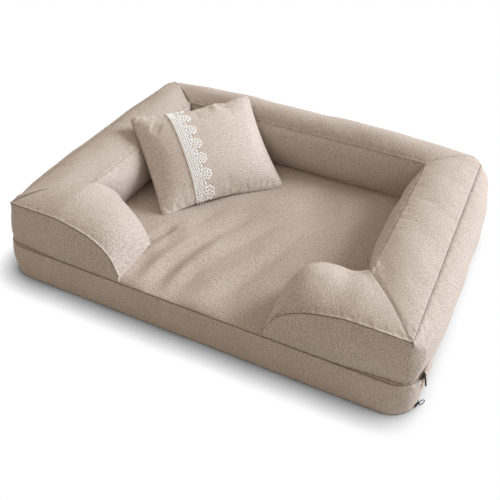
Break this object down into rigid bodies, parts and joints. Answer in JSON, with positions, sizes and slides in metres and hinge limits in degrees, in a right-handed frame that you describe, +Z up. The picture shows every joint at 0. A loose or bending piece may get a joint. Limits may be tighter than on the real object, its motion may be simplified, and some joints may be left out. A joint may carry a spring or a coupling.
{
  "type": "dog bed",
  "caption": "Rectangular dog bed: foam base mattress, stuffed bolster on three sides with short front wings, zipped covers and a loose lace-trimmed pillow.",
  "frame": {"origin": "middle of the flat underside, on the floor", "axes": "+X along the front to the right, +Y from the open front to the back, +Z up"},
  "size_m": [0.9155, 0.683, 0.2251],
  "materials": {
    "bed_linen": "heathered taupe linen-look weave, matt",
    "base_underside": "plain close non-slip weave, matt",
    "lining": "thin plain lining cloth, matt",
    "foam": "open-cell foam slab",
    "fibre_filling": "loose stuffing fibre",
    "pillow_linen": "heathered taupe linen-look weave, matt",
    "lace": "white cotton lace",
    "zip_tape": "woven tape with a nylon coil",
    "zip_metal": "black enamelled",
    "pull_bar_plastic": "black, slightly glossy"
  },
  "bodies": {
    "bed": {"back_bottom_lining": "lining", "back_filling": "fibre_filling", "back_inner_wall": "bed_linen", "back_outer_wall": "bed_linen", "back_top": "bed_linen", "base_bottom_panel": "base_underside", "base_foam": "foam", "base_side_band": "bed_linen", "base_top_panel": "bed_linen", "base_zip_band": "bed_linen", "base_zip_chain": "zip_tape", "base_zip_stops": "zip_metal", "bolster_zip_chain": "zip_tape", "bolster_zip_stops": "zip_metal", "left_arm_bottom_lining": "lining", "left_arm_filling": "fibre_filling", "left_arm_inner_wall": "bed_linen", "left_arm_outer_wall": "bed_linen", "left_arm_top": "bed_linen", "left_wing_bottom_lining": "lining", "left_wing_face": "bed_linen", "left_wing_filling": "fibre_filling", "left_wing_top": "bed_linen", "right_arm_bottom_lining": "lining", "right_arm_filling": "fibre_filling", "right_arm_inner_wall": "bed_linen", "right_arm_outer_wall": "bed_linen", "right_arm_top": "bed_linen", "right_wing_bottom_lining": "lining", "right_wing_face": "bed_linen", "right_wing_filling": "fibre_filling", "right_wing_top": "bed_linen"},
    "base_slider": {"base_zip_slider": "zip_metal"},
    "base_pull": {"base_zip_pull_ring": "zip_metal"},
    "bolster_slider": {"bolster_zip_slider": "zip_metal"},
    "bolster_pull": {"bolster_zip_pull_bar": "pull_bar_plastic"},
    "pillow": {"pillow_back_panel": "pillow_linen", "pillow_filling": "fibre_filling", "pillow_front_panel": "pillow_linen", "pillow_lace": "lace"}
  },
  "joints": [
    {"name": "pillow_lift", "type": "slide", "parent": "bed", "child": "pillow", "axis": [0, 0, 1], "range_m": [0, 0.35]},
    {"name": "base_zip_slide", "type": "slide", "parent": "bed", "child": "base_slider", "axis": [0, 1, 0], "range_m": [0, 0.5417]},
    {"name": "base_ring_swing", "type": "hinge", "parent": "base_slider", "child": "base_pull", "pos_m": [0.4496, -0.28885, 0.0095], "axis": [0, 0, 1], "range_deg": [-115, 20]},
    {"name": "bolster_zip_slide", "type": "slide", "parent": "bed", "child": "bolster_slider", "axis": [0, 1, 0], "range_m": [0, 0.5417]},
    {"name": "bolster_bar_swing", "type": "hinge", "parent": "bolster_slider", "child": "bolster_pull", "pos_m": [0.44605, -0.28885, 0.084], "axis": [0, -1, 0], "range_deg": [0, 95]}
  ]
}
